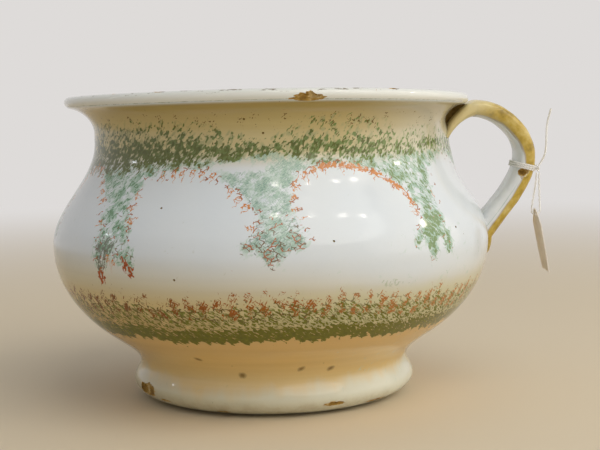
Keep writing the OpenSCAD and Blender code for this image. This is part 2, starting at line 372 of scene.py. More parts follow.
WALL, POT_H = 5.5, 150.5
WAIST_Z, FLANK_Z, BELLY_Z, NECK_Z, FLARE_Z = 18.5, 38, 78.5, 128.485, 132.985
WAIST_R, FLANK_R, BELLY_R, NECK_R = 68.25, 89.5, 110, 88.25
FLARE_R, FLARE_TURN, LIP_RUN = 12, math.radians(75), 2
FLANK_SLOPE = 1.15
FOOT_R, FOOT_Z, TREAD_R = 71.5, 9, 54
FLOOR_Z, FLOOR_ROUND = 25.5, 9
SPIN_STEPS, CREASE = 384, math.radians(48)


def hermite(t, a, b, slope_a, slope_b):
    return ((2 * t ** 3 - 3 * t ** 2 + 1) * a + (t ** 3 - 2 * t ** 2 + t) * slope_a
            + (3 * t ** 2 - 2 * t ** 3) * b + (t ** 3 - t ** 2) * slope_b)


def wall_radius(z):
    """Outer radius of the pot at a height, from the table to the lip's underside."""
    z = np.asarray(z, float)
    low, high = FLANK_Z - WAIST_Z, BELLY_Z - FLANK_Z
    return np.select(
        [z < FOOT_Z, z < WAIST_Z, z < FLANK_Z, z < BELLY_Z, z < NECK_Z, z < FLARE_Z],
        [TREAD_R + (FOOT_R - TREAD_R) * np.sqrt(np.clip(1 - ((FOOT_Z - z) / FOOT_Z) ** 2, 0, 1)),
         FOOT_R + (WAIST_R - FOOT_R) * (1 - np.cos(np.pi * (z - FOOT_Z) / (WAIST_Z - FOOT_Z))) / 2,
         hermite((z - WAIST_Z) / low, WAIST_R, FLANK_R, 0, FLANK_SLOPE * low),
         hermite((z - FLANK_Z) / high, FLANK_R, BELLY_R, FLANK_SLOPE * high, 0),
         NECK_R + (BELLY_R - NECK_R) * (1 + np.cos(np.pi * (z - BELLY_Z) / (NECK_Z - BELLY_Z))) / 2,
         NECK_R],
        NECK_R + FLARE_R - np.sqrt(np.clip(FLARE_R ** 2 - (z - FLARE_Z) ** 2, 0, None)))


def pot_section():
    """Radius and height from the middle of the underside, over the lip, to the middle of the floor."""
    under = [(0, 18), (16, 18.1), (32, 18.2), (43, 18), (47, 17.2), (48.8, 15), (48.7, 11), (48.4, 7),
             (48.2, 3), (48.2, 1.4), (48.5, 0.5), (49.2, 0.05), (50.4, 0), (52.6, 0)]
    roll = [(TREAD_R + (FOOT_R - TREAD_R) * math.cos(a), FOOT_Z + FOOT_Z * math.sin(a))
            for a in np.radians(np.arange(-86, 1, 6))]
    heights = np.r_[np.arange(10.5, FLANK_Z, 1.5), np.arange(FLANK_Z, FLARE_Z, 1.7)]
    outside = list(zip(wall_radius(heights), heights))
    turns = np.linspace(0, FLARE_TURN, 14)
    flare, back = ([(NECK_R + FLARE_R - reach * math.cos(a), FLARE_Z + reach * math.sin(a)) for a in turns]
                   for reach in (FLARE_R, FLARE_R + WALL))
    bead_x = (NECK_R + FLARE_R * (1 - math.cos(FLARE_TURN)) + LIP_RUN * math.sin(FLARE_TURN)
              - WALL / 2 * math.cos(FLARE_TURN))
    bead = [(bead_x + WALL / 2 * math.cos(a), POT_H - WALL / 2 + WALL / 2 * math.sin(a))
            for a in np.linspace(-FLARE_TURN, math.pi - FLARE_TURN, 16)]
    inside = []
    for z in np.arange(NECK_Z, WAIST_Z, -2.2):
        slope = float(wall_radius(z + 0.05) - wall_radius(z - 0.05)) / 0.1
        reach = WALL / math.hypot(1, slope)
        point = (float(wall_radius(z)) - reach, z + slope * reach)
        if point[1] > FLOOR_Z + FLOOR_ROUND:
            inside.append(point)
    a, b = np.array(inside[-1]), np.array(inside[-2])
    way = (a - b) / abs(a[1] - b[1])
    corner = a + way * (a[1] - FLOOR_Z)
    edge = corner - (FLOOR_ROUND, 0)
    curve = [(1 - t) ** 2 * a + 2 * t * (1 - t) * corner + t ** 2 * edge for t in np.linspace(0.125, 1, 8)]
    middle = [(r, FLOOR_Z) for r in (44, 30, 16, 0)]
    return np.array(under + roll + outside + flare + bead + back[::-1] + inside + curve + middle, float)


def hand_thrown(angle, radius, height):
    """Small departures of a hand-thrown pot from a true turned one, in radius and height."""
    grow = np.clip(height / POT_H, 0, 1)
    fingers = smooth(24, 40, height) * (1 - smooth(118, 132, height))
    fingers = 0.035 * fingers * np.sin(height / 1.5 + 0.8 * np.sin(angle))
    radius = radius + np.clip(radius / 40, 0, 1) * (
        0.45 * grow * np.cos(2 * angle + 0.7) + 0.22 * np.sin(3 * angle + 1.2 + 0.03 * height)
        + 0.12 * np.sin(5 * angle - 0.05 * height) + fingers)
    # Clay of the handle's root, thumbed down on to the neck
    root = smooth(106, 122, height) * (1 - smooth(131, 140, height))
    root = root * np.exp(-((angle - math.pi / 2) / 0.18) ** 2)
    radius = radius + 3.4 * root * (radius > wall_radius(height) - WALL / 2)
    left = np.clip(-np.sin(angle), 0, 1) ** 2
    radius = radius + 1.5 * smooth(136, 149, height) * left
    lift = smooth(134, 148, height) * (
        1.5 * np.clip(np.cos(angle), 0, 1) ** 1.5 + 0.25 * np.sin(3 * angle + 1) + 0.7 * left)
    return radius, height + lift


def true_turned(angle, radius, height):
    """The place that hand_thrown moved to this one."""
    r, z = radius, height
    for _ in range(4):
        moved_r, moved_z = hand_thrown(angle, r, z)
        r, z = r + radius - moved_r, z + height - moved_z
    return r, z


def break_out(where, size, seed, peak=0.0):
    """A cutter in the form of a shell-shaped flake of clay, at a place and of a half size along the rim,
    upwards and inwards. A peak draws its upper half in to a point."""
    angle, radius, height = math.radians(where[0]), where[1], where[2]
    start_clean()
    bpy.ops.mesh.primitive_ico_sphere_add(subdivisions=5 if max(size) > 3 else 3, radius=1)
    flake = bpy.context.object
    p = coordinates(flake.data) * MM
    rough = lumps(p * 1.9 + seed * 7.1, 0.6, 2.2, 5)
    ridges = lumps(p * 5.5 + seed * 3.7, 0.7, 2.0, 4)
    swell = 1 + 0.26 * rough + 0.09 * ridges
    p[:, 0] *= 1 - peak * smooth(-0.6, 1, p[:, 2])
    along, deep, up = (p * swell[:, None] * np.array((size[0], size[2], size[1]))).T
    radius, height = hand_thrown(angle, radius, height)
    x, y = along, deep - radius
    place_points(flake.data, np.c_[x * math.cos(angle) - y * math.sin(angle),
                                   x * math.sin(angle) + y * math.cos(angle), height + up])
    return flake


def take_out(piece, cutter):
    """Cuts one piece out of another, which keeps the cutter's material on the cut."""
    work(piece, "BOOLEAN", object=cutter, operation="DIFFERENCE", solver="MANIFOLD", material_mode="TRANSFER")
    bpy.data.objects.remove(cutter)
    bpy.ops.object.shade_smooth_by_angle(angle=CREASE)


# Flakes broken from the lip and foot: degrees from the front, radius, height, half sizes and how pointed
FLAKES = [((9.6, 101.5, 146.2), (12.5, 3.5, 2.4), 0.82), ((33.5, 99.4, 150.6), (2.2, 0.7, 1.1)),
          ((-29, 99.0, 150.6), (2.6, 0.6, 1.2)), ((-11, 98.4, 150.7), (1.6, 0.5, 0.9)),
          ((-44, 98.9, 150.6), (1.4, 0.5, 0.8)), ((24, 98.6, 150.7), (1.2, 0.45, 0.8)),
          ((152, 100.6, 148.6), (5.5, 2.1, 1.7)), ((-121, 98.8, 150.5), (3.4, 0.8, 1.4)),
          ((-61, 71.9, 8.0), (9.0, 4.4, 2.5)), ((-48, 70.2, 4.6), (4.6, 1.2, 1.2)),
          ((23.6, 71.0, 5.6), (6.4, 1.6, 1.4)), ((-21, 66.9, 2.4), (4.2, 0.9, 1.4)),
          ((118, 71.7, 8.2), (5.2, 2.0, 1.4)), ((205, 69.6, 3.7), (6.0, 1.6, 1.4)),
          ((46, 68.3, 3.4), (7.5, 0.9, 1.3))]
# Pinholes burst in the glaze: degrees from the front, and height
PITS = [(-7.1, 138.7), (-1.8, 132.9), (-22.7, 70.3), (14.3, 86.3), (-28.4, 100.8), (52, 88), (101, 96),
        (-96, 84), (163, 108), (-151, 62)]
PIT_SIZE = (0.55, 0.5, 0.5)


def throw_pot(biscuit, dirt_and_shade):
    """The pot's section spun round, made uneven by hand, glazed and chipped."""
    section = pot_section()
    start_clean()
    bpy.ops.mesh.primitive_circle_add(vertices=len(section), radius=1)
    piece = bpy.context.object
    piece.name = "glazed_pot"
    place_points(piece.data, np.c_[0 * section[:, 0], -section[:, 0], section[:, 1]])
    bpy.ops.object.mode_set(mode="EDIT")
    shape = bmesh.from_edit_mesh(piece.data)
    axis = [e for e in shape.edges if all(abs(v.co.y) < 1e-6 for v in e.verts)]
    bmesh.ops.delete(shape, geom=axis, context="EDGES")
    bmesh.update_edit_mesh(piece.data)
    bpy.ops.mesh.select_all(action="SELECT")
    bpy.ops.mesh.spin(steps=SPIN_STEPS, angle=2 * math.pi, center=(0, 0, 0), axis=(0, 0, 1))
    close_shell()
    bpy.ops.object.mode_set(mode="OBJECT")
    p = coordinates(piece.data)
    angle, radius = np.arctan2(p[:, 0], -p[:, 1]), np.hypot(p[:, 0], p[:, 1])
    radius, height = hand_thrown(angle, radius, p[:, 2])
    place_points(piece.data, np.c_[radius * np.sin(angle), -radius * np.cos(angle), height])

    pits = [((a, float(wall_radius(z)) + 0.1, z), PIT_SIZE) for a, z in PITS]
    cutters = []
    for seed, entry in enumerate(FLAKES + pits):
        cutter = break_out(*entry[:2], seed, *entry[2:])
        cutter.data.materials.append(dirt_and_shade if entry[1] == PIT_SIZE else biscuit)
        cutters.append(cutter)
    pick(*cutters)
    bpy.ops.object.join()
    piece.data.materials.append(glaze_material())
    take_out(piece, cutters[0])
    return piece


# Sponged decoration: places as degrees from the front, positive towards the handle, and heights

# Lower edge of the sponged green, from the left leg's lobes over two arches to the right leg's lobes
EDGE = [(-62, 117.2), (-57.5, 113.4), (-50.6, 103.2), (-48, 96.8), (-46.2, 88.2), (-47.9, 79.1),
        (-46.4, 73), (-44.5, 68), (-42.4, 73), (-41, 79.5), (-39.5, 75), (-38, 72.5), (-36.8, 77),
        (-35.6, 73.5), (-33.7, 71), (-32.6, 75), (-33.4, 82.7), (-34.5, 89.1), (-35.9, 93.3),
        (-38.2, 101.7), (-38, 106), (-36.2, 111.3), (-32.3, 114.2), (-27.7, 116.2), (-22.9, 116.7),
        (-18.3, 115.8), (-14.3, 112.7), (-10.6, 108.4), (-7, 104.2), (-4.4, 99.2), (-3.1, 96.7),
        (-3.8, 93.9), (-5.6, 89.8), (-7.3, 85.7), (-8, 81), (-5.6, 80.5), (-4.2, 82), (-2.2, 78), (0, 74.4),
        (2, 75.5), (2.9, 79.1), (4.4, 81.5), (6.3, 81.8), (8.7, 85), (8.7, 89.2), (7.4, 93.4), (6.5, 97.6),
        (5.7, 101.8), (6, 105), (5.8, 108), (8, 113), (11.6, 116.3), (17.1, 118.4), (21.6, 118.2),
        (26.1, 116.5), (32, 113.1), (36, 108.8), (38.1, 104.7), (39.6, 99.3), (39.7, 94.9), (37.9, 91),
        (36, 87), (35.4, 81), (37.2, 80.2), (39, 84), (40.2, 78), (41.4, 72), (43, 75), (43.6, 82),
        (45, 83), (46.4, 78.5), (48.1, 75.4), (49.3, 79), (48.9, 89.3), (48.2, 98.4), (49.5, 102.7),
        (53, 111), (57, 115.8), (62, 118.4)]
# A wide arch behind the handle, then the same motif on the unseen side, a little closer together
HANDLE_ARCH = [(69, 120.5), (77, 118), (83.5, 110), (87, 99), (86.5, 87), (89.5, 79)]
UNSEEN_LEGS = (93, 131, 169, 207, 245, 281, 317)
MOTIF_SPAN, MOTIFS_END = 41.4, 296
# Lower edge and top of the dark band round the neck
BAND = [(-180, 120.5, 135), (-120, 118.4, 134), (-50, 116.9, 135), (-23, 120.1, 135.6), (-8, 122, 131),
        (0, 124.4, 129.5), (5, 123.6, 133), (10, 120.8, 136.5), (21, 120, 138), (31, 120.6, 137),
        (42, 122.2, 133.5), (60, 122.6, 133.6), (120, 119.6, 136), (180, 120.5, 135)]
PER_DEGREE = 1.8
# Radius that the map is wrapped at, and heights near the lip where the outer wall ends
MAP_R, FLARE_TOP, LIP_UNDER, LIP_FRONT = 100, 144.9, 144.6, 145.9


def sponged_edge():
    """The edge all the way round, as a line from -180 to 180 degrees and a little beyond."""
    motif = [(a, z) for a, z in EDGE if 0 <= a < MOTIF_SPAN]
    line = EDGE + HANDLE_ARCH
    for leg, next_leg in zip(UNSEEN_LEGS, UNSEEN_LEGS[1:]):
        line += [(leg + a * (next_leg - leg) / MOTIF_SPAN, z) for a, z in motif]
    line = [(a, z) for a, z in line if a < MOTIFS_END]
    whole = [(a - 360, z) for a, z in line] + line
    return np.array([p for p in whole if -215 < p[0] < 215])


def edge_places(angle, height):
    """Signed distance in millimetres from the sponged edge, positive inside the green, and the
    length along the edge to the nearest point on it."""
    line = sponged_edge() * (PER_DEGREE, 1)
    x, z = angle * PER_DEGREE, height
    best, crossings, run = np.full(len(x), 1e9), np.zeros(len(x), int), np.zeros(len(x))
    passed = 0.0
    for (ax, az), (bx, bz) in zip(line, line[1:]):
        dx, dz = bx - ax, bz - az
        length = math.hypot(dx, dz)
        t = np.clip(((x - ax) * dx + (z - az) * dz) / (length ** 2 + 1e-9), 0, 1)
        far = np.hypot(x - ax - t * dx, z - az - t * dz)
        run = np.where(far < best, passed + t * length, run)
        best = np.minimum(best, far)
        passed += length
        if dx:
            crossings += ((ax <= x) != (bx <= x)) & (az + (x - ax) / dx * dz < z)
    return np.where(crossings % 2 == 1, best, -best), run


def wall_climb(height):
    """Length along the outer wall from the table up to a height."""
    levels = np.arange(0, 151, 0.5)
    steps = np.hypot(np.diff(wall_radius(np.clip(levels, 0, FLARE_TOP))), 0.5)
    return np.interp(height, levels, np.r_[0, np.cumsum(steps)])


def spot(angle, height):
    """A place on the wrapped map in millimetres, from degrees round and a height."""
    return MAP_R * math.radians(angle), float(wall_climb(height))


def wrap_map(mesh, turn, climb):
    """Gives the faces a map wrapped round the pot, and keeps faces behind the pot whole on it."""
    corners = np.empty(len(mesh.loops), np.int32)
    mesh.loops.foreach_get("vertex_index", corners)
    starts = np.empty(len(mesh.polygons), np.int32)
    mesh.polygons.foreach_get("loop_start", starts)
    turns = turn[corners]
    counts = np.diff(np.r_[starts, len(corners)])
    span = np.maximum.reduceat(turns, starts) - np.minimum.reduceat(turns, starts)
    turns = np.where(np.repeat(span > math.pi, counts) & (turns < 0), turns + 2 * math.pi, turns)
    places = np.stack([turns * MAP_R, climb[corners]], 1) * MM
    mesh.uv_layers.new(name="wrap").data.foreach_set("uv", places.astype(np.float32).ravel())


def mark_pot(piece):
    """Gives each vertex its place in the decoration, and the faces their map."""
    mesh = piece.data
    p = coordinates(mesh)
    turn = np.arctan2(p[:, 0], -p[:, 1])
    angle = np.degrees(turn)
    radius, height = true_turned(turn, np.hypot(p[:, 0], p[:, 1]), p[:, 2])
    outside = (radius > wall_radius(np.clip(height, 0, LIP_UNDER)) - WALL / 2) & (height < LIP_FRONT)
    # Away from the sponged wall the marks hold values that no layer reaches
    edge, run = np.full(len(p), -60.0), np.zeros(len(p))
    sponged = outside & (height > 60) & (height < 142)
    edge[sponged], run[sponged] = edge_places(angle[sponged], height[sponged])
    spots, low, top = np.array(BAND).T
    low, top = np.interp(angle, spots, low), np.interp(angle, spots, top)
    band = np.where(outside, (height - low) / (top - low), -2.0)
    waver = 0.9 * np.sin(2 * turn + 0.6) + 0.6 * np.sin(7 * turn) + 0.5 * np.sin(17 * turn + 1)
    lower = np.where(outside, height - waver, -99.0)
    # Tan low on the flank and under the lip is a painted warm reflection. It climbs a little higher on the
    # left of the front than on the right, as painted shade on the left
    climb = np.interp(angle, (-180, -90, -50, -20, 10, 35, 60, 90, 180), (0, 4, 3, 0, -2.5, -8, -6, 0, 0))
    flank = (1 - smooth(57, 82, height - climb)) * smooth(2, 8, height)
    by_handle = 0.35 * smooth(15, 60, angle) * (1 - smooth(110, 150, angle))
    neck = smooth(116, 125, height) * (1 - smooth(144.4, 145.6, height)) * (1 - by_handle)
    # The sponge was fuller on the left of the front than on the right
    full = 0.5 - 0.5 * np.sin(turn)
    # Rust was pressed faintly beside the outer legs of the front
    rusty = np.interp(angle, (-180, -70, -58, -50, -46, -38, 39, 42, 72, 100, 180),
                      (1, 1, 0.9, 0.9, 0.5, 0.9, 1, 0.12, 0.02, 1, 1))
    # White glaze pooled lower on the front of the foot than at its sides
    pool = height + np.interp(angle, (-180, -90, -50, -26, -6, 13, 33, 56, 90, 180),
                              (4, 3, 4.5, 7.5, 7.5, 5.5, 3, 1, 2, 4))
    keep_values(mesh, edge=edge, run=run, band=band, lower=lower, tan=outside * np.maximum(neck, flank),
                full=full, rusty=rusty, pool=pool, inside=1.0 - outside)
    wrap_map(mesh, turn, wall_climb(height))


# What the sponge leaves, as patterns in millimetres

def strokes(add, place, slant, long, wide, seed, bias, soft=0.06, less=0):
    """Sponge marks: noise drawn out to strokes of a size in millimetres on a slant. A bias of 0 covers
    half of the ground, 0.2 nearly all and -0.25 almost nothing; less is taken off it."""
    if less:
        bias = add("Math SUBTRACT", [bias, less])
    shift, turn = (seed * 17.37, seed * 13.91, 0), (0, 0, math.radians(slant))
    drawn = add("Mapping TEXTURE", [place, shift, turn, (long, wide, 1)])
    mark = add("TexNoise 2D", {"Vector": drawn, "Scale": 1, "Detail": 1.2, "Roughness": 0.5})
    mark = add("Math ADD", [mark, bias])
    return add("MapRange SMOOTHSTEP", [mark, 0.5 - soft, 0.5 + soft])


def from_oval(add, local, at, tilt, size):
    """How far a place is from the middle of an oval, where 1 is its edge."""
    oval = add("Mapping TEXTURE", [local, (*at, 0), (0, 0, math.radians(tilt)), (*size, 1)])
    return add("VectorMath LENGTH", [oval])


def loop_print(add, local, at, tilt, size, line):
    """A looped fibre of the sponge, the same in every print: an oval line at a place, tilt and half size."""
    far = add("Math SUBTRACT", [from_oval(add, local, at, tilt, size), 1])
    far = add("Math ABSOLUTE", [far])
    return add("MapRange SMOOTHSTEP", [far, line, line * 0.4])


def blot_print(add, local, at, tilt, size):
    """A solid blot of the sponge, the same in every print."""
    return add("MapRange SMOOTHSTEP", [from_oval(add, local, at, tilt, size), 1.2, 0.75])


def fibres(add, place, slant, size, width, seed, share):
    """Stray fibres of the sponge: broken loops of a size and a line width in millimetres, on a slant."""
    shift, turn = (seed * 11.3, seed * 5.9, 0), (0, 0, math.radians(slant))
    there = add("Mapping TEXTURE", [place, shift, turn, (size * 1.7, size, 1)])
    line = add("TexVoronoi 2D", {"Vector": there, "Scale": 1, "Randomness": 1}, feature="DISTANCE_TO_EDGE")
    line = add("MapRange SMOOTHSTEP", [line, width / size * 0.6, width / size * 0.25])
    kept = add("TexNoise 2D", {"Vector": there, "Scale": 0.75, "Detail": 0})
    kept = add("MapRange", [kept, 0.2, 0.8])
    kept = add("Math LESS_THAN", [kept, share])
    return add("Math MULTIPLY", [line, kept])


def bias_by(add, value, low, high, *steps):
    """A bias for strokes that follows a value from low to high, as places and biases."""
    stops = [((at - low) / (high - low), (bias + 0.5,) * 3 + (1,)) for at, bias in steps]
    ramp = add("ValToRGB", [add("MapRange", [value, low, high])], stops=stops)
    return add("Math SUBTRACT", [ramp, 0.5])


def pigment(on, shades):
    """A colour on the pot: one shade, two that its uneven tone runs between, or one mixed before."""
    if isinstance(shades, str):
        return linear(shades)
    if isinstance(shades, tuple):
        return on.add("Mix RGBA", {0: on.tone, 6: linear(shades[0]), 7: linear(shades[1])})
    return shades


def coat(on, under, where, shades, strength=1):
    """Lays a colour over another where a mask is, at a strength."""
    if strength != 1:
        where = on.add("Math MULTIPLY", [where, strength])
    return on.add("Mix RGBA", {0: where, 6: pigment(on, under), 7: pigment(on, shades)})


# Glaze, in the order that its coats were laid

# Distance between prints along the arches, prints round the lower band, and the width of one of those
RUST_STEP, PRINTS, PRINT_W = 5.6, 98, 6.41


def glaze_places(add):
    """What the glaze's layers read: places on the pot in millimetres, shaken as by hand, and the marks."""
    on = SimpleNamespace(add=add)
    on.flat = add("VectorMath MULTIPLY", [add("UVMap", uv_map="wrap"), (1 / MM, 1 / MM, 0)])
    on.millimetres = add("VectorMath MULTIPLY", [add("TexCoord", out=3), (1 / MM, 1 / MM, 1 / MM)])
    on.height = add("SeparateXYZ", [on.millimetres], 2)
    for name in ("edge", "run", "band", "lower", "tan", "full", "rusty", "pool", "inside"):
        setattr(on, name, add("Attribute", out=2, attribute_name=name))
    # Ragged hand: marks are pulled about by up to 0.6 mm every 1.6 mm, and by up to 0.8 mm every 7 mm
    fine = add("TexNoise 2D", {"Vector": on.flat, "Scale": 0.62, "Detail": 2}, 1)
    broad = add("TexNoise 2D", {"Vector": on.flat, "Scale": 0.15, "Detail": 1}, 1)
    on.jitter = add("VectorMath SUBTRACT", [fine, (0.5, 0.5, 0.5)])
    shake = add("VectorMath MULTIPLY_ADD", [on.jitter, (2.4, 2.4, 0), on.flat])
    on.hand = add("VectorMath MULTIPLY_ADD", [broad, (3.2, 3.2, 0), shake])
    on.press = add("VectorMath MULTIPLY_ADD", [on.jitter, (0.9, 0.9, 0), on.flat])
    # Patches of 10 mm and clumps of 5 mm where the sponge was fuller, and the pigment's uneven tone
    on.patch = add("TexNoise 2D", {"Vector": on.flat, "Scale": 0.1, "Detail": 2, "Roughness": 0.55})
    on.clump = add("TexNoise 2D", {"Vector": on.flat, "Scale": 0.2, "Detail": 0})
    on.tone = add("TexNoise 2D", {"Vector": on.hand, "Scale": 0.5, "Detail": 3, "Roughness": 0.66})
    return on


def bare_glaze(on):
    """Bluish white on the belly, tan on the neck and flank as a painted warm reflection, cream inside."""
    add = on.add
    mottle = add("TexNoise", {"Vector": on.millimetres, "Scale": 0.03, "Detail": 3})
    white = coat(on, "#d6dfe8", mottle, "#e2e7ea")
    # Painted warm reflection on the neck, darkest just under the lip, and on the flank
    stops = [(0, "#d6ceb0"), (0.35, "#cdc090"), (0.7, "#c5b47c"), (1, "#b09b60")]
    neck = add("ValToRGB", [add("MapRange", [on.height, 118, 146])], stops=stops)
    stops = [(0, "#e0c78e"), (0.3, "#e1bf7c"), (0.6, "#d3b074"), (0.85, "#d4bf8a"), (1, "#d4c8a2")]
    flank = add("ValToRGB", [add("MapRange", [on.height, 16, 66])], stops=stops)
    warm = coat(on, flank, add("MapRange", [on.height, 80, 110]), neck)
    # Turning marks: faint rings, 2 mm apart
    rings = add("Mapping", {"Vector": on.millimetres, "Scale": (0.006, 0.006, 0.45)})
    rings = add("TexNoise", {"Vector": rings, "Scale": 1, "Detail": 3})
    rings = add("MapRange", [rings, 0.35, 0.7, 0, 0.15])
    warm = coat(on, warm, rings, "#b3965a")
    colour = coat(on, white, on.tan, warm)
    colour = coat(on, colour, on.inside, coat(on, "#e6e8e3", rings, "#cfccb8"))
    # Glaze gathered white again on the foot, with a ragged upper edge, painted whiter on the right and
    # darker on the left as light and shade
    drips = add("Mapping", {"Vector": on.flat, "Scale": (0.04, 0.02, 1)})
    drips = add("TexNoise 2D", {"Vector": drips, "Scale": 1, "Detail": 3})
    gathered = add("Math MULTIPLY_ADD", [drips, -12, on.pool])
    gathered = add("MapRange SMOOTHSTEP", [gathered, 18, 9])
    # Painted light on the right of the foot, painted shade on its left
    return coat(on, colour, gathered, coat(on, "#e0e2d2", on.full, "#ccc6a8"))


def sea_green_legs(on, colour):
    """Copper green sponged thinly in the spandrels and legs. At the sides two coats of strokes cross with
    white left between them; at the front a soft cloud carries finer strokes that cross, and a few threads.
    The left leg ends in grey and rust."""
    add = on.add
    cover = add("MapRange", [on.edge, -2.2, 3.2])
    below_band = add("MapRange SMOOTHSTEP", [on.band, 0.3, -0.1])
    # White left bare under the dark band, left of the front leg
    gap = from_oval(add, on.hand, spot(-7, 119.8), 3, (17, 3))
    gap = add("MapRange", [gap, 0.5, 1.4, 0.3, 1])
    for share in (below_band, gap):
        cover = add("Math MULTIPLY", [cover, share])
    aside = add("Math ABSOLUTE", [add("Math SUBTRACT", [on.full, 0.5])])
    at_front = add("MapRange", [aside, 0.25, 0.1])
    at_sides = add("Math MULTIPLY_ADD", [at_front, -0.8, 1])

    # Strokes rise to the right on the left of the pot, and fall to the right on its right
    x = add("SeparateXYZ", [on.hand])
    mirror = add("Math MULTIPLY_ADD", [add("Math GREATER_THAN", [x, 25]), -2, 1])
    leaning = add("CombineXYZ", [add("Math MULTIPLY", [x, mirror]), x.node.outputs[1]])
    thick = add("MapRange", [on.patch, 0.35, 0.65, -0.07, 0.09])
    mottle = add("MapRange", [on.clump, 0.3, 0.7, 0.36, 0.48])
    bias = add("Math MULTIPLY_ADD", [cover, mottle, thick])
    closer = add("MapRange", [on.full, 0.22, 0.4, 0.16, 0.03])
    bias = add("Math MULTIPLY_ADD", [add("MapRange", [on.height, 98, 86]), closer, bias])
    bias = add("Math ADD", [bias, add("MapRange", [cover, 0, 0.5, -0.12, 0])])
    wash = strokes(add, on.hand, 50, 4.6, 2.0, 1, bias, 0.12, less=0.34)
    colour = coat(on, colour, wash, "#bad0c2", 0.5)
    bias = add("Math SUBTRACT", [bias, 0.42])
    cloud = strokes(add, on.press, 38, 3.4, 1.7, 18, bias, 0.13, less=0.03)
    colour = coat(on, colour, add("Math MULTIPLY", [cloud, at_front]), "#a2c2ae", 0.5)
    first = strokes(add, leaning, 46, 3.6, 1.15, 2, bias, 0.08)
    colour = coat(on, colour, add("Math MULTIPLY", [first, at_sides]), ("#82a890", "#acc9b8"), 0.8)
    second = strokes(add, leaning, 60, 2.8, 0.85, 3, bias, 0.07, less=0.1)
    to_left = add("MapRange", [on.full, 0.2, 0.45])
    green = coat(on, ("#66804e", "#8ba676"), to_left, ("#577e5c", "#78a27e"))
    colour = coat(on, colour, add("Math MULTIPLY", [second, at_sides]), green)
    well_in = add("MapRange", [cover, 0.4, 0.75])
    inner = add("Math MULTIPLY", [at_front, well_in])
    fine = add("Math MULTIPLY_ADD", [inner, mottle, -0.54])
    for slant, seed, shade in ((48, 22, "#94b8a2"), (-50, 23, "#8cac9c"), (36, 24, "#74948a")):
        mark = strokes(add, on.press, slant, 2.0, 0.5, seed, fine, 0.05)
        colour = coat(on, colour, mark, shade, 0.56)
    threads = add("Math MULTIPLY", [add("MapRange", [on.height, 108, 96, 0, 0.5]), inner])
    threads = fibres(add, on.press, 32, 1.8, 0.36, 19, threads)
    colour = coat(on, colour, threads, "#5f7a68", 0.6)

    # Lobes: thin umber and rust fibres at the front, grey strokes on the left
    lobes = add("MapRange", [on.height, 98, 84])
    for share in (well_in, add("MapRange", [on.full, 0.25, 0.45, 0.1, 1])):
        lobes = add("Math MULTIPLY", [lobes, share])
    grey = add("Math MULTIPLY", [lobes, add("MapRange", [x, -63, -69])])
    grey = add("Math MULTIPLY_ADD", [grey, 0.44, -0.42])
    grey = strokes(add, on.hand, 72, 4.2, 1.0, 4, grey)
    colour = coat(on, colour, grey, "#6c6d60", 0.85)
    tangled = add("Math MULTIPLY", [lobes, add("Math MULTIPLY_ADD", [at_front, 0.7, 0.3])])
    for slant, size, seed, share, shade in ((-34, 1.7, 5, 0.46, "#74583a"), (26, 2.0, 6, 0.42, "#ad5a26")):
        stray = fibres(add, on.press, slant, size, 0.4, seed, add("Math MULTIPLY", [tangled, share]))
        colour = coat(on, colour, stray, shade, 0.9)
    # Two full rust prints at the tips of the left leg
    for seed, angle, height, tilt, long in ((7, -43.6, 71.5, 84, 4.6), (7.3, -34.6, 76.5, 116, 6.4)):
        tip = from_oval(add, on.hand, spot(angle, height), tilt, (long, 2.8))
        tip = add("MapRange", [tip, 0.6, 1.25, 0.08, -0.5])
        tip = strokes(add, on.press, tilt, 2.4, 1.1, seed, tip)
        colour = coat(on, colour, tip, ("#7c2c00", "#c65e12"))
    # A stray touch of the sponge low on the right of the belly
    touch = from_oval(add, on.hand, spot(30.5, 67.5), -4, (8, 2.4))
    touch = add("MapRange", [touch, 0.5, 1.3, -0.02, -0.5])
    touch = strokes(add, on.press, 58, 2.0, 0.9, 25, touch, 0.1)
    return coat(on, colour, touch, "#8ea47e", 0.42)


def neck_band(on, colour):
    """Olive sponged thickly round the neck, darker and closer on the left, with single dabs above it."""
    add = on.add
    bias = bias_by(add, on.band, -0.4, 1.4, (-0.35, -0.5), (-0.05, -0.08), (0.1, 0.01), (0.42, 0.03),
                   (0.6, -0.06), (0.85, -0.14), (1.15, -0.2), (1.35, -0.5))
    fuller = add("MapRange", [on.full, 0.1, 0.8, -0.05, 0.05])
    clump = add("MapRange", [on.clump, 0.35, 0.65, -0.07, 0.07])
    for more in (fuller, clump):
        bias = add("Math ADD", [bias, more])
    wash = strokes(add, on.press, 50, 4.4, 2.2, 8, bias, 0.14, less=-0.03)
    colour = coat(on, colour, wash, coat(on, "#a2ac84", on.full, "#7c8248"), 0.55)
    rich = pigment(on, ("#3c460a", "#6c742e"))
    first = strokes(add, on.press, 42, 3.0, 1.5, 9, bias)
    colour = coat(on, colour, first, coat(on, ("#647c3a", "#8ca462"), on.full, rich))
    second = strokes(add, on.press, 54, 2.5, 1.2, 10, bias, less=0.08)
    colour = coat(on, colour, second, rich)
    # Brown flecks boiled out of the tan above the band
    boil = add("MapRange", [on.clump, 0.45, 0.7, -0.34, -0.12])
    for outer, inner in ((131, 137), (144, 141)):
        boil = add("Math ADD", [boil, add("MapRange", [on.height, outer, inner, -0.3, 0])])
    boil = strokes(add, on.flat, 35, 1.3, 0.8, 11, boil, 0.05)
    return coat(on, colour, boil, "#6b5020")


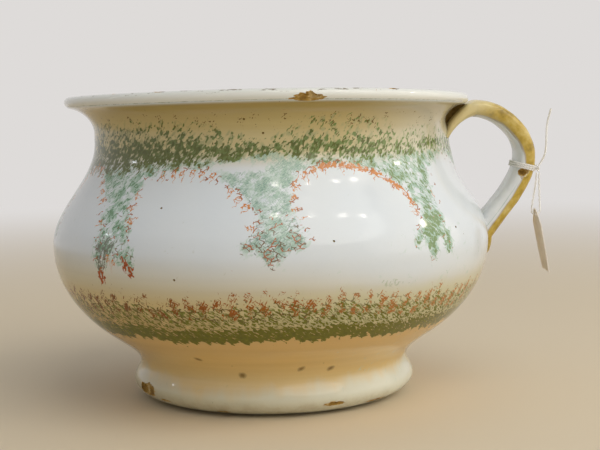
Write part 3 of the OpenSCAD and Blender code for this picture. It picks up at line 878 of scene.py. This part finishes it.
def arch_rust(on, colour):
    """Iron rust pressed along the arches with a looped sponge at even steps: single prints with tails that
    hang into the white on the left, prints run together into a band on the right."""
    add = on.add
    along = add("Math MULTIPLY", [on.run, 1 / RUST_STEP])
    within = add("Math FRACT", [along])
    chance = add("TexWhiteNoise 1D", {"W": add("Math FLOOR", [along])}, 1)
    aside, lower, kept = add("SeparateColor", [chance]).node.outputs[:3]
    across = add("Math MULTIPLY", [add("Math MULTIPLY_ADD", [aside, 0.36, within]), RUST_STEP])
    out = add("Math MULTIPLY_ADD", [lower, 1.8, on.edge])
    local = add("VectorMath SUBTRACT", [add("CombineXYZ", [across, out]), (3.8, 1.1, 0)])
    local = add("VectorMath MULTIPLY_ADD", [on.jitter, (2.6, 2.6, 0), local])
    mark = loop_print(add, local, (0, 0), 35, (1.15, 0.65), 0.44)
    for at, tilt, size in (((0.7, -2.3), 74, (1.9, 0.22)), ((-1.1, -1.3), 118, (1.2, 0.2))):
        mark = add("Math MAXIMUM", [mark, blot_print(add, local, at, tilt, size)])
    arch = add("MapRange", [on.height, 91, 101, 0.08, 0.86])
    kept = add("Math LESS_THAN", [kept, add("Math MULTIPLY", [arch, on.rusty])])
    mark = add("Math MULTIPLY", [mark, kept])

    ribbon = add("CombineXYZ", [on.run, on.edge])
    ribbon = add("VectorMath MULTIPLY_ADD", [on.jitter, (3, 3, 0), ribbon])
    near = bias_by(add, on.edge, -3, 3.5, (-2.7, -0.5), (-1, 0), (0.3, 0.08), (1.5, 0), (2.9, -0.5))
    # Less of it towards the left, down the legs and where the rust is faint
    for value, none, whole, less in ((on.full, 0.52, 0.36, -0.3), (on.height, 93, 99, -0.3),
                                     (on.rusty, 0, 1, -0.4)):
        near = add("Math ADD", [near, add("MapRange", [value, none, whole, less, 0])])
    ribbon = strokes(add, ribbon, 14, 3.4, 1.5, 12, near, 0.05)
    mark = add("Math MAXIMUM", [mark, ribbon])
    hang = add("MapRange", [on.edge, -3, 0.5, 0, 0.42])
    for share in (add("MapRange", [on.edge, 3.5, 1.5]), on.rusty, add("MapRange", [on.height, 86, 94])):
        hang = add("Math MULTIPLY", [hang, share])
    hang = fibres(add, on.press, 28, 1.8, 0.42, 13, hang)
    colour = coat(on, colour, hang, ("#8c4a22", "#b06a3c"))
    return coat(on, colour, mark, ("#b65a08", "#dc9a48"), 0.96)


def lower_band(on, colour):
    """Band on the flank, printed with one sponge at even steps: olive pressed thick below, pale slanting
    lines and loops left in it above, olive threads on its upper edge and a rust splash over each print."""
    add = on.add
    shake = add("VectorMath MULTIPLY_ADD", [on.jitter, (1.5, 1.5, 0), on.flat])
    around = add("Math MULTIPLY", [add("SeparateXYZ", [shake]), PRINTS / (2 * math.pi * MAP_R)])
    within = add("Math SUBTRACT", [add("Math FRACT", [around]), 0.5])
    slip = add("TexWhiteNoise 1D", {"W": add("Math FLOOR", [around])})
    level = add("Math MULTIPLY_ADD", [slip, 1.8, on.lower])
    level = add("Math SUBTRACT", [level, 0.9])
    local = add("CombineXYZ", [add("Math MULTIPLY", [within, PRINT_W]), add("Math MULTIPLY", [level, 1.35])])
    local = add("VectorMath MULTIPLY_ADD", [on.jitter, (1.8, 1.8, 0), local])
    local = add("VectorMath SUBTRACT", [local, (0, 69.6, 0)])

    # Between the prints the ground is pale sage on the right and the front, and tan on the left
    to_right = add("MapRange", [on.full, 0.48, 0.2])
    sage = add("MapRange", [level, 42, 48, 0, 0.8])
    for value, none, whole in ((level, 66, 57), (on.full, 0.85, 0.35)):
        sage = add("Math MULTIPLY", [sage, add("MapRange", [value, none, whole])])
    colour = coat(on, colour, sage, "#cdcda8")

    middle = add("Math ABSOLUTE", [within])
    tips = add("Math MULTIPLY_ADD", [middle, 3.6, level])
    bias = bias_by(add, tips, 38, 62, (39, -0.5), (40.9, -0.02), (42, 0.24), (47.4, 0.22), (54, 0.15),
                   (57.6, 0), (60.5, -0.5))
    green = strokes(add, on.press, -38, 3.4, 1.2, 14, bias)
    pale = bias_by(add, level, 38, 62, (40, -0.4), (43, -0.24), (45.5, -0.16), (48.5, -0.1), (55, -0.06),
                   (60, -0.1))
    pale = strokes(add, on.press, -40, 3.4, 0.75, 20, pale, 0.05)
    for at, tilt, size in (((1.3, -3.2), -42, (2.2, 1.05)), ((-1.5, -5.2), -36, (1.9, 0.95)),
                           ((-0.9, 0.6), -44, (1.9, 0.95)), ((1.6, 2.6), -34, (1.6, 0.8))):
        pale = add("Math MAXIMUM", [pale, loop_print(add, local, at, tilt, size, 0.46)])
    left = add("MapRange", [on.clump, 0.3, 0.6, -0.95, -0.7])
    left = add("Math MULTIPLY_ADD", [pale, left, 1])
    upper = add("MapRange", [level, 47, 55, 0, 0.8])
    olive = coat(on, ("#464a00", "#7c7c00"), upper, ("#62680e", "#8c9040"))
    colour = coat(on, colour, add("Math MULTIPLY", [green, left]), olive)
    threads = bias_by(add, level, 46, 62, (49, -0.5), (52.5, 0), (56, 0.05), (59, -0.2), (61.5, -0.5))
    threads = fibres(add, on.press, -36, 1.8, 0.46, 21, add("Math ADD", [threads, 0.5]))
    fainter = add("Math MULTIPLY_ADD", [to_right, -0.5, 1])
    colour = coat(on, colour, add("Math MULTIPLY", [threads, fainter]), ("#4c3c08", "#7a6c30"))

    drop = add("MapRange", [on.full, 0.38, 0.2, 0, 2.2])
    bias = bias_by(add, add("Math ADD", [level, drop]), 46, 68, (50, -0.5), (53, -0.17), (56, -0.12),
                   (60, -0.13), (63.5, -0.23), (67, -0.5))
    clump = add("MapRange", [on.clump, 0.35, 0.65, -0.1, 0.08])
    crowd = add("MapRange", [middle, 0.1, 0.45, 0.07, -0.12])
    for more in (clump, crowd):
        bias = add("Math ADD", [bias, more])
    rising = strokes(add, on.press, 66, 3.0, 0.62, 15, bias, 0.05)
    falling = strokes(add, on.press, -36, 2.6, 0.6, 16, bias, 0.05, less=0.02)
    side = add("MapRange", [on.full, 0.55, 0.85])
    rust = coat(on, ("#803c00", "#b66810"), side, ("#5c3000", "#8e5408"))
    rust = coat(on, rust, to_right, "#c08448", 0.7)
    return coat(on, colour, add("Math MAXIMUM", [rising, falling]), rust)


def age_marks(on, colour):
    """Iron specks and spots, wear along the top of the lip, and dirt with painted shade low on the foot."""
    add = on.add
    speck = add("TexVoronoi", {"Vector": on.millimetres, "Scale": 0.09, "Randomness": 1})
    pick_out = add("SeparateColor", [speck.node.outputs["Color"]])
    pick_out = add("Math LESS_THAN", [pick_out, 0.45])
    speck = add("Math MULTIPLY", [add("MapRange", [speck, 0.035, 0.015]), pick_out])
    rim = add("CombineXYZ", [add("SeparateXYZ", [on.flat]), on.height])
    rim = add("Mapping", {"Vector": rim, "Scale": (0.16, 0.9, 1)})
    worn = add("TexNoise 2D", {"Vector": rim, "Scale": 1, "Detail": 5, "Roughness": 0.7})
    worn = add("Math ADD", [worn, add("MapRange", [on.height, 148.4, 151.4, -0.3, 0.02])])
    worn = add("MapRange", [worn, 0.58, 0.66, 0, 0.8])
    on.marks = add("Math MAXIMUM", [speck, worn])
    colour = coat(on, colour, on.marks, "#6a5836")
    # Four brown iron spots low on the front
    for angle, height, tilt in ((-26.5, 29.3, -20), (-12.2, 21, 0), (10.2, 24, 30), (22, 23, 15)):
        stain = from_oval(add, on.press, spot(angle, height), tilt, (2.7, 1.7))
        colour = coat(on, colour, add("MapRange", [stain, 1.2, 0.4, 0, 0.8]), "#6a4e1a")
    # Dirt with painted shade, darker towards the foot's bottom edge
    dirt_and_shade = add("TexNoise", {"Vector": on.millimetres, "Scale": 0.12, "Detail": 4, "Roughness": 0.65})
    low_edge = add("MapRange", [on.height, 10, 0.5, 0, 0.8])
    dirt_and_shade = add("Math MULTIPLY", [add("MapRange", [dirt_and_shade, 0.42, 0.7]), low_edge])
    return coat(on, colour, dirt_and_shade, "#a08c5e")


def glaze_material():
    """Tin glaze over buff earthenware, dipped and fired glossy: an opaque bluish white, with tan painted on
    the neck and flank as a warm reflection, sponged copper-green and iron-rust decoration melted into it,
    specks and a faint orange peel."""
    material, add, shader = new_material("tin_glaze_sponged_green_and_rust")
    on = glaze_places(add)
    colour = bare_glaze(on)
    for layer in (sea_green_legs, neck_band, arch_rust, lower_band, age_marks):
        colour = layer(on, colour)
    gloss = add("TexNoise", {"Vector": on.millimetres, "Scale": 0.09, "Detail": 3})
    gloss = add("MapRange", [gloss, 0.3, 0.7, 0.07, 0.14])
    # Ripples of the thrower's fingers are in the mesh; this is the orange peel of a thick glaze, 4 mm across
    peel = add("TexNoise", {"Vector": on.millimetres, "Scale": 0.24, "Detail": 2})
    peel = add("Math MULTIPLY_ADD", [on.marks, -1.2, peel])
    bump = add("Bump", {"Height": peel, "Strength": 0.1, "Distance": 0.0006})
    fill(shader, {"Base Color": colour, "Roughness": gloss, "IOR": 1.52, "Normal": bump})
    return material


# Other materials

def grime_and_shade_material():
    """Grime packed into pinholes, and grime with painted shade in the crevice behind the handle's root:
    dark brown, greasy and matt.
    """
    material, add, shader = new_material("packed_grime_and_shade")
    crumb = add("TexNoise", {"Vector": add("TexCoord", out=3), "Scale": 1400, "Detail": 3})
    colour = add("Mix RGBA", {0: crumb, 6: linear("#483814"), 7: linear("#8e7030")})
    bump = add("Bump", {"Height": crumb, "Strength": 0.5, "Distance": 0.0004})
    fill(shader, {"Base Color": colour, "Roughness": 0.75, "Specular IOR Level": 0.2, "Normal": bump})
    return material


def biscuit_material():
    """Fired buff earthenware laid bare where glaze has flaked off: matt, gritty and stained with use."""
    material, add, shader = new_material("biscuit_earthenware")
    place = add("TexCoord", out=3)
    grain = add("TexNoise", {"Vector": place, "Scale": 900, "Detail": 4, "Roughness": 0.7})
    stain = add("TexNoise", {"Vector": place, "Scale": 260, "Detail": 3})
    stops = [(0.34, "#5e3f0c"), (0.5, "#b08a38"), (0.62, "#ecd8a4")]
    stain = add("ValToRGB", [stain], stops=stops)
    colour = add("Mix RGBA", {0: grain, 6: stain, 7: linear("#a8843a")})
    bump = add("Bump", {"Height": grain, "Strength": 0.7, "Distance": 0.0006})
    fill(shader, {"Base Color": colour, "Roughness": 0.82, "IOR": 1.5, "Normal": bump})
    return material


def ochre_material():
    """Ochre slip brushed along the outside of the strap under a clear gloss, on bluish-white tin glaze."""
    material, add, shader = new_material("ochre_wash_on_tin_glaze")
    millimetres = add("VectorMath MULTIPLY", [add("TexCoord", out=3), (1 / MM, 1 / MM, 1 / MM)])
    wash, along, hollow = (add("Attribute", out=2, attribute_name=n) for n in ("wash", "along", "hollow"))
    brushed = add("CombineXYZ", [add("Math MULTIPLY", [along, 9]), add("Math MULTIPLY", [wash, 7]),
                                 add("SeparateXYZ", [millimetres], 1)])
    streak = add("TexNoise", {"Vector": brushed, "Scale": 0.9, "Detail": 4, "Roughness": 0.6})
    cloud = add("TexNoise", {"Vector": millimetres, "Scale": 0.16, "Detail": 4, "Roughness": 0.6})
    stops = [(0.3, "#92792a"), (0.48, "#c0a342"), (0.72, "#d8c47c")]
    ochre = add("ValToRGB", [cloud], stops=stops)
    # Paler from the root to the crown: partly the wash's own tone, partly a painted highlight on the strap's
    # upward-facing top
    paler = add("MapRange SMOOTHSTEP", [along, 0.44, 0.3, 0, 0.85])
    ochre = add("Mix RGBA", {0: paler, 6: ochre, 7: linear("#e4d5a2")})
    white = add("Mix RGBA", {0: cloud, 6: linear("#d3d7da"), 7: linear("#e9ebea")})
    ragged = add("Math MULTIPLY_ADD", [streak, 0.45, wash])
    cover = add("MapRange SMOOTHSTEP", [ragged, 0.16, 0.3])
    colour = add("Mix RGBA", {0: cover, 6: white, 7: ochre})
    # Brown line where the ochre ends, and a thread of copper green beside it
    brown = add("Math ABSOLUTE", [add("Math SUBTRACT", [ragged, 0.2])])
    brown = add("MapRange", [brown, 0.09, 0.02, 0, 0.55])
    green = add("Math ABSOLUTE", [add("Math ADD", [ragged, 0.04])])
    green = add("MapRange", [green, 0.07, 0.02, 0, 0.5])
    green = add("Math MULTIPLY", [green, add("MapRange", [along, 0.74, 0.82])])
    # The last is dirt and painted shade in the crevice under the lip
    for where, code in ((brown, "#8a6b34"), (green, "#6f9a94"), (hollow, "#4a3a1c")):
        colour = add("Mix RGBA", {0: where, 6: colour, 7: linear(code)})
    gloss = add("MapRange", [cloud, 0.3, 0.7, 0.12, 0.26])
    bump = add("Bump", {"Height": streak, "Strength": 0.16, "Distance": 0.0006})
    fill(shader, {"Base Color": colour, "Roughness": gloss, "IOR": 1.52, "Normal": bump})
    return material


def cotton_material():
    """Soft three-ply cotton string, bleached: matt fibres with a little sheen and grey handling marks."""
    material, add, shader = new_material("bleached_cotton_string")
    place = add("TexCoord", out=3)
    fibre = add("TexNoise", {"Vector": place, "Scale": 5200, "Detail": 3, "Roughness": 0.7})
    handled = add("TexNoise", {"Vector": place, "Scale": 150, "Detail": 2})
    handled = add("MapRange", [handled, 0.55, 0.75, 0, 0.3])
    colour = add("Mix RGBA", {0: fibre, 6: linear("#f0eee8"), 7: linear("#ffffff")})
    colour = add("Mix RGBA", {0: handled, 6: colour, 7: linear("#cdc8bb")})
    bump = add("Bump", {"Height": fibre, "Strength": 0.6, "Distance": 0.00015})
    fill(shader, {"Base Color": colour, "Roughness": 0.9, "Sheen Weight": 0.35, "Normal": bump})
    return material


def card_material():
    """Uncoated grey-brown card: matt, with paper fibres and light handling marks."""
    material, add, shader = new_material("uncoated_card")
    place = add("TexCoord", out=3)
    stretch = add("Mapping", {"Vector": place, "Scale": (1, 1, 0.22)})
    fibre = add("TexNoise", {"Vector": stretch, "Scale": 2600, "Detail": 4, "Roughness": 0.7})
    cloud = add("TexNoise", {"Vector": place, "Scale": 170, "Detail": 3})
    cloud = add("MapRange", [cloud, 0.42, 0.72, 0, 0.5])
    colour = add("Mix RGBA", {0: fibre, 6: linear("#ded6cc"), 7: linear("#f3ede6")})
    colour = add("Mix RGBA", {0: cloud, 6: colour, 7: linear("#d0c7bb")})
    bump = add("Bump", {"Height": fibre, "Strength": 0.35, "Distance": 0.0001})
    fill(shader, {"Base Color": colour, "Roughness": 0.88, "Normal": bump})
    return material


# Strap handle: a flat pull of clay, rolled from a grid into a closed strap

STRAP_SIDES, ROOT_START = 40, 0.06
# The tail, smeared down on to the belly: places outwards and up, thickness and width
SMEAR = [((107.6, 77.4), 10.4, 23.2), ((108.3, 74.2), 7.4, 21), ((108.9, 71.2), 4.4, 17.5),
         ((109.0, 69.0), 2.0, 13)]
SMEAR_OUT = np.array((0.96, -0.28))


def pull_handle(biscuit):
    """Rows of points round the strap from its root to its smeared tail, closed and chipped."""
    rows = []
    for bend, start in enumerate((ROOT_START, 0, 0)):
        for t in np.linspace(start, 1, 25)[1 if bend else 0:]:
            middle, _, out, thick = strap_frame(bend, t)
            rows.append((middle, out, thick, STRAP_W))
    # The root runs on into the wall
    middle, out, thick, width = rows[0]
    rows.insert(0, (middle - (2.6, 0.8), out, thick + 0.6, width + 1))
    rows += [(np.array(middle), SMEAR_OUT, thick, width) for middle, thick, width in SMEAR]
    last = len(rows) - 1
    start_clean()
    bpy.ops.mesh.primitive_grid_add(x_subdivisions=STRAP_SIDES, y_subdivisions=last, size=1)
    piece = bpy.context.object
    piece.name = "pulled_strap_handle"
    angles = np.linspace(0, 2 * math.pi, STRAP_SIDES + 1) - math.pi / 2
    places, marks = [], []
    for i, (middle, out, thick, width) in enumerate(rows):
        for across, through in zip(*oblong(width, thick, angles)):
            x, z = middle + through * out
            lump = noise.fractal(Vector((x, across, z)) * 0.06, 0.6, 2.0, 3)
            x, z = (x, z) + 0.35 * lump * out
            places.append((x, across * (1 + 0.012 * lump), z))
            marks.append((through / (thick / 2), i / last))
    place_points(piece.data, places)
    through, along = np.array(marks).T
    # Ochre lies on the outside of the strap and runs down its edges, less and less towards the tail
    reach = np.interp(along, (0, 0.1, 0.3, 0.5, 0.62, 0.7, 0.85, 1),
                      (-0.9, -1.1, -0.8, -0.72, -0.5, -0.05, 0.15, 0.2))
    # Dirt and painted shade on the strap's root, in the crevice under the lip
    hollow = (1 - smooth(0.02, 0.1, along)) * smooth(0.1, 0.6, through) * 0.6
    keep_values(piece.data, wash=through - reach, along=along, hollow=hollow)
    bpy.ops.object.mode_set(mode="EDIT")
    close_shell()
    bpy.ops.mesh.select_all(action="DESELECT")
    bpy.ops.mesh.select_non_manifold(extend=False)
    bpy.ops.mesh.fill_holes(sides=0)
    bpy.ops.mesh.select_all(action="SELECT")
    bpy.ops.mesh.normals_make_consistent(inside=False)
    bpy.ops.object.mode_set(mode="OBJECT")
    piece.data.materials.append(ochre_material())
    # A chip on the strap's front edge, just under the string
    chip = break_out((84.5, 127.4, 110.3), (1.7, 1.9, 3.4), 30)
    chip.data.materials.append(biscuit)
    take_out(piece, chip)
    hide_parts("handle_strap")
    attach(piece, "pot")


# Clay behind the root: its share of the strap's first bend, its heights on the wall, and its thickness
LUTE_BEND, LUTE_Z, LUTE_TOP, LUTE_T = (0.2, 0.97), (131.4, 145.8), 144.4, 11


def lute_root(dirt_and_shade):
    """Clay pressed into the crevice between the strap's root and the flare, dark with grime and painted
    shade: a grid set between the strap's middle line and the wall, thickened."""
    start_clean()
    bpy.ops.mesh.primitive_grid_add(x_subdivisions=10, y_subdivisions=24, size=1)
    piece = bpy.context.object
    piece.name = "luted_root"
    places = []
    for t, z in zip(np.linspace(*LUTE_BEND, 25), np.linspace(*LUTE_Z, 25)):
        strap = strap_frame(0, t)[0]
        wall = np.array((float(wall_radius(min(z, LUTE_TOP))) - 0.6, z))
        for share in np.linspace(0, 1, 11):
            x, up = wall + (strap - wall) * share
            places.append((x, 0, up))
    place_points(piece.data, places)
    work(piece, "SOLIDIFY", thickness=LUTE_T * MM, offset=0)
    p = coordinates(piece.data)
    p[:, 1] *= 1 + 0.16 * lumps(p * 0.35, 0.6, 2.0, 4)
    place_points(piece.data, p)
    bpy.ops.object.mode_set(mode="EDIT")
    close_shell()
    bpy.ops.object.mode_set(mode="OBJECT")
    bpy.ops.object.shade_smooth_by_angle(angle=math.radians(50))
    # Grime and painted shade of the crevice
    piece.data.materials.append(dirt_and_shade)
    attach(piece, "pot")


# Grime for the pinholes, and grime with painted shade for the crevice at the handle's root
grime_and_shade = grime_and_shade_material()
biscuit = biscuit_material()
pot = throw_pot(biscuit, grime_and_shade)
mark_pot(pot)
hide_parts("pot_body", "foot_ring")
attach(pot, "pot")
pull_handle(biscuit)
lute_root(grime_and_shade)
cotton = cotton_material()
for piece in string_pieces:
    piece.data.materials.append(cotton)
tag.data.materials.append(card_material())


# Stage: pale floor, pale surroundings and soft lamps

ROOM = "#dedbd9"
# Lamps: degrees round from the front, positive to the right, degrees up, distance, width, watts and colour
LAMPS = [("ceiling_front", 4, 58, 1.7, 0.05, 0.3, "#fff6ea"),
         ("ceiling_near", 30, 55.5, 1.7, 0.045, 0.25, "#fff6ea"),
         ("ceiling_mid", 51, 50.5, 1.7, 0.045, 0.25, "#fff6ea"),
         ("ceiling_far", 63, 46.5, 1.7, 0.045, 0.25, "#fff6ea"),
         ("right", 92, 28, 1.5, 0.1, 0.6, "#fff6ea"),
         ("left", -95, 22, 1.5, 0.06, 0.2, "#f4f7ff"),
         ("key", 36, 46, 2.0, 2.0, 16, "#fffbf2"),
         ("window", 80, 16, 1.8, 2.2, 9.5, "#fff6e6")]
LAMPS_ROUND = Vector((0, 0, 0.08))


def seen_ray(add):
    """1 on rays that show the room itself, to the camera or in gloss and glass."""
    ray = add("LightPath")
    seen = add("Math MAXIMUM", [ray, ray.node.outputs["Is Glossy Ray"]])
    return add("Math MAXIMUM", [seen, ray.node.outputs["Is Transmission Ray"]])


def light_stage():
    """A floor that fades into a pale room, and the lamps."""
    start_clean()
    bpy.ops.mesh.primitive_plane_add(size=9, location=(0, 0, 0))
    floor = bpy.context.object
    floor.name = "pale_floor"
    material, add, shader = new_material("pale_matt_floor")
    fill(shader, {"Base Color": linear("#dccdb2"), "Roughness": 0.7})
    # Away from the pot the floor fades into the pale room behind it
    away = add("VectorMath LENGTH", [add("TexCoord", out=3)])
    fade = add("MapRange SMOOTHSTEP", [away, 0.3, 1.5])
    fade = add("Math MULTIPLY", [fade, seen_ray(add)])
    pale = add("Emission", {"Color": linear(ROOM), "Strength": 1})
    both = add("MixShader", [fade, shader.outputs[0], pale])
    fill(material.node_tree.nodes["Material Output"], {"Surface": both})
    floor.data.materials.append(material)

    # The camera, reflections and glass see a paler room than the one that lights the pot, most from the right
    world = bpy.data.worlds.new("pale_room")
    bpy.context.scene.world = world
    world.use_nodes = True
    add = partial(add_node, world.node_tree)
    side = add("SeparateXYZ", [add("TexCoord")])
    glow = add("MapRange", [side, -1, 1, 0.32, 0.74])
    room = add("Background", {"Color": linear("#e8e9ec"), "Strength": glow})
    wall = add("Background", {"Color": linear(ROOM), "Strength": 1})
    both = add("MixShader", [seen_ray(add), room, wall])
    fill(world.node_tree.nodes["World Output"], {"Surface": both})

    for name, around, up, far, wide, watts, colour in LAMPS:
        a, e = math.radians(around), math.radians(up)
        ray = Vector((math.sin(a) * math.cos(e), -math.cos(a) * math.cos(e), math.sin(e)))
        bpy.ops.object.light_add(type="AREA", location=ray * far + LAMPS_ROUND,
                                 rotation=ray.to_track_quat("Z", "Y").to_euler())
        lamp = bpy.context.object
        lamp.name = "lamp_" + name
        lamp.data.shape = "DISK"
        lamp.data.size = wide
        lamp.data.energy = watts
        lamp.data.color = linear(colour)[:3]
    bpy.context.scene.view_settings.view_transform = "Standard"


light_stage()
